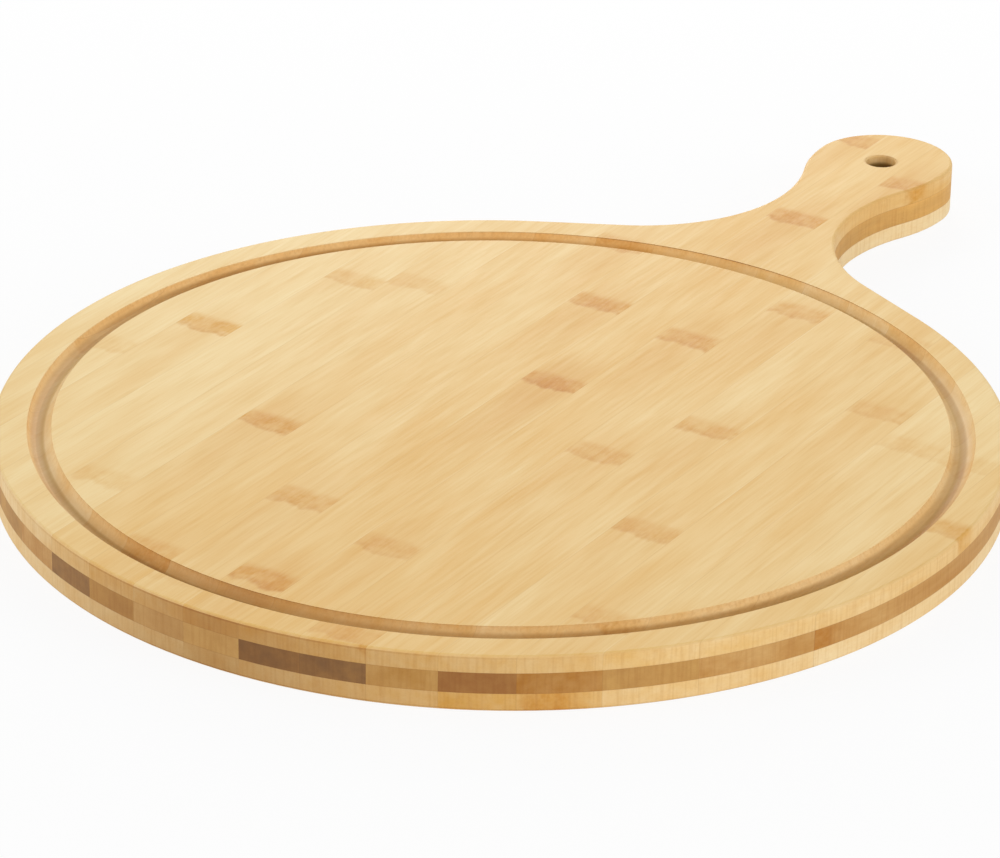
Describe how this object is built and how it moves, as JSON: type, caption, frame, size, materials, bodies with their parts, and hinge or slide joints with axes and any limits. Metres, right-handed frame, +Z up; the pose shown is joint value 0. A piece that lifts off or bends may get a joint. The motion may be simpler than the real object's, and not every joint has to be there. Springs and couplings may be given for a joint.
{
  "type": "serving board",
  "caption": "Round laminated bamboo pizza serving board with a juice groove and a short handle that ends in a rounded head with a hanging hole.",
  "frame": {"origin": "middle of the round part, on the underside", "axes": "+Z up through the board, +Y out along the handle, +X to the right of the handle"},
  "size_m": [0.32, 0.4425, 0.018],
  "materials": {
    "face_bamboo": "satin",
    "core_light": "satin",
    "core_tan": "satin",
    "core_brown": "satin",
    "core_dark": "satin"
  },
  "bodies": {
    "root": {"top_lath_01": "face_bamboo", "top_lath_02": "face_bamboo", "top_lath_03": "face_bamboo", "top_lath_04": "face_bamboo", "top_lath_05": "face_bamboo", "top_lath_06": "face_bamboo", "top_lath_07": "face_bamboo", "top_lath_08": "face_bamboo", "top_lath_09": "face_bamboo", "top_lath_10": "face_bamboo", "top_lath_11": "face_bamboo", "top_lath_12": "face_bamboo", "top_lath_13": "face_bamboo", "top_lath_14": "face_bamboo", "top_lath_15": "face_bamboo", "top_lath_16": "face_bamboo", "top_lath_17": "face_bamboo", "core_lath_01": "core_brown", "core_lath_02": "core_tan", "core_lath_03": "core_brown", "core_lath_04": "core_dark", "core_lath_05": "core_tan", "core_lath_06": "core_dark", "core_lath_07": "core_brown", "core_lath_08": "core_tan", "core_lath_09": "core_light", "core_lath_10": "core_dark", "core_lath_11": "core_dark", "core_lath_12": "core_light", "core_lath_13": "core_brown", "core_lath_14": "core_tan", "core_lath_15": "core_brown", "core_lath_16": "core_tan", "core_lath_17": "core_tan", "base_lath_01": "face_bamboo", "base_lath_02": "face_bamboo", "base_lath_03": "face_bamboo", "base_lath_04": "face_bamboo", "base_lath_05": "face_bamboo", "base_lath_06": "face_bamboo", "base_lath_07": "face_bamboo", "base_lath_08": "face_bamboo", "base_lath_09": "face_bamboo", "base_lath_10": "face_bamboo", "base_lath_11": "face_bamboo", "base_lath_12": "face_bamboo", "base_lath_13": "face_bamboo", "base_lath_14": "face_bamboo", "base_lath_15": "face_bamboo", "base_lath_16": "face_bamboo", "base_lath_17": "face_bamboo"}
  },
  "joints": []
}
